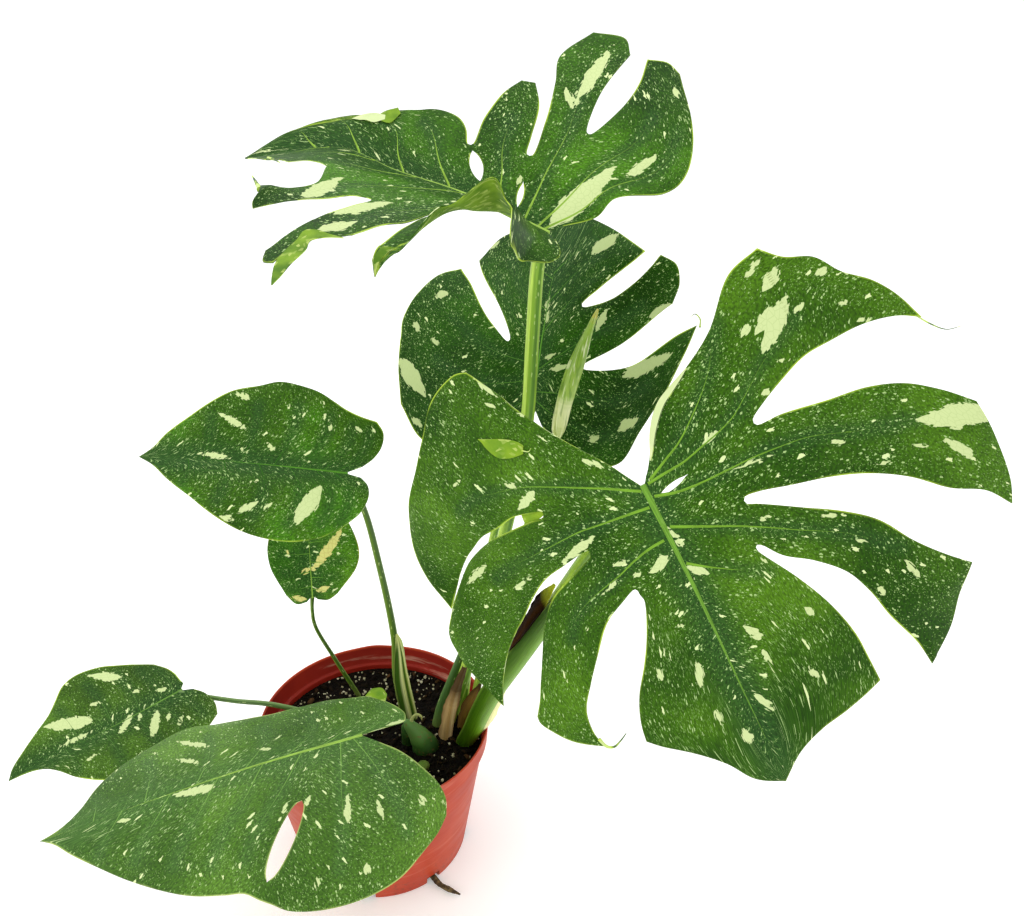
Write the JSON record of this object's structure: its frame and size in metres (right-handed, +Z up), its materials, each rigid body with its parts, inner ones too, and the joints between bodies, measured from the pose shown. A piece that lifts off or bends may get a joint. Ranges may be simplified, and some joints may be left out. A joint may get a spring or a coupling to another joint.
{
  "type": "potted variegated split-leaf monstera plant",
  "caption": "Young split-leaf monstera with cream-speckled, deeply cut leaves on long stalks, growing in a round tapered plastic nursery pot.",
  "frame": {"origin": "centre of the pot's foot, on its flat underside", "axes": "+Z up the pot's axis; the big cut leaf is on the +X side and faces -Y, and the low heart leaves are on the -X side"},
  "size_m": [0.5998, 0.3362, 0.5612],
  "materials": {
    "pot_plastic": "satin",
    "potting_mix": "matte",
    "leaf": "satin",
    "petiole": "satin",
    "rolled_leaf": "satin",
    "stem": "satin",
    "dried_sheath": "matte",
    "tan_sheath": "matte",
    "old_petiole": "satin",
    "root": "matte"
  },
  "bodies": {
    "root": {"pot": "pot_plastic", "soil": "potting_mix", "leaf_blade_big_right": "leaf", "leaf_blade_top": "leaf", "leaf_blade_back": "leaf", "leaf_blade_heart": "leaf", "leaf_blade_small": "leaf", "leaf_blade_low_left": "leaf", "leaf_blade_front": "leaf", "petiole_big_right": "petiole", "petiole_top": "petiole", "petiole_back": "petiole", "petiole_heart": "petiole", "petiole_small": "petiole", "petiole_low_left": "petiole", "petiole_front": "petiole", "rolled_leaf": "rolled_leaf", "rolled_leaf_stalk": "petiole", "stem_crown": "stem", "stem_stub": "stem", "sheath_big_right": "petiole", "sheath_heart": "petiole", "sheath_brown": "dried_sheath", "sheath_tan": "tan_sheath", "sheath_tan_short": "tan_sheath", "petiole_old": "old_petiole", "drain_root": "root"}
  },
  "joints": []
}
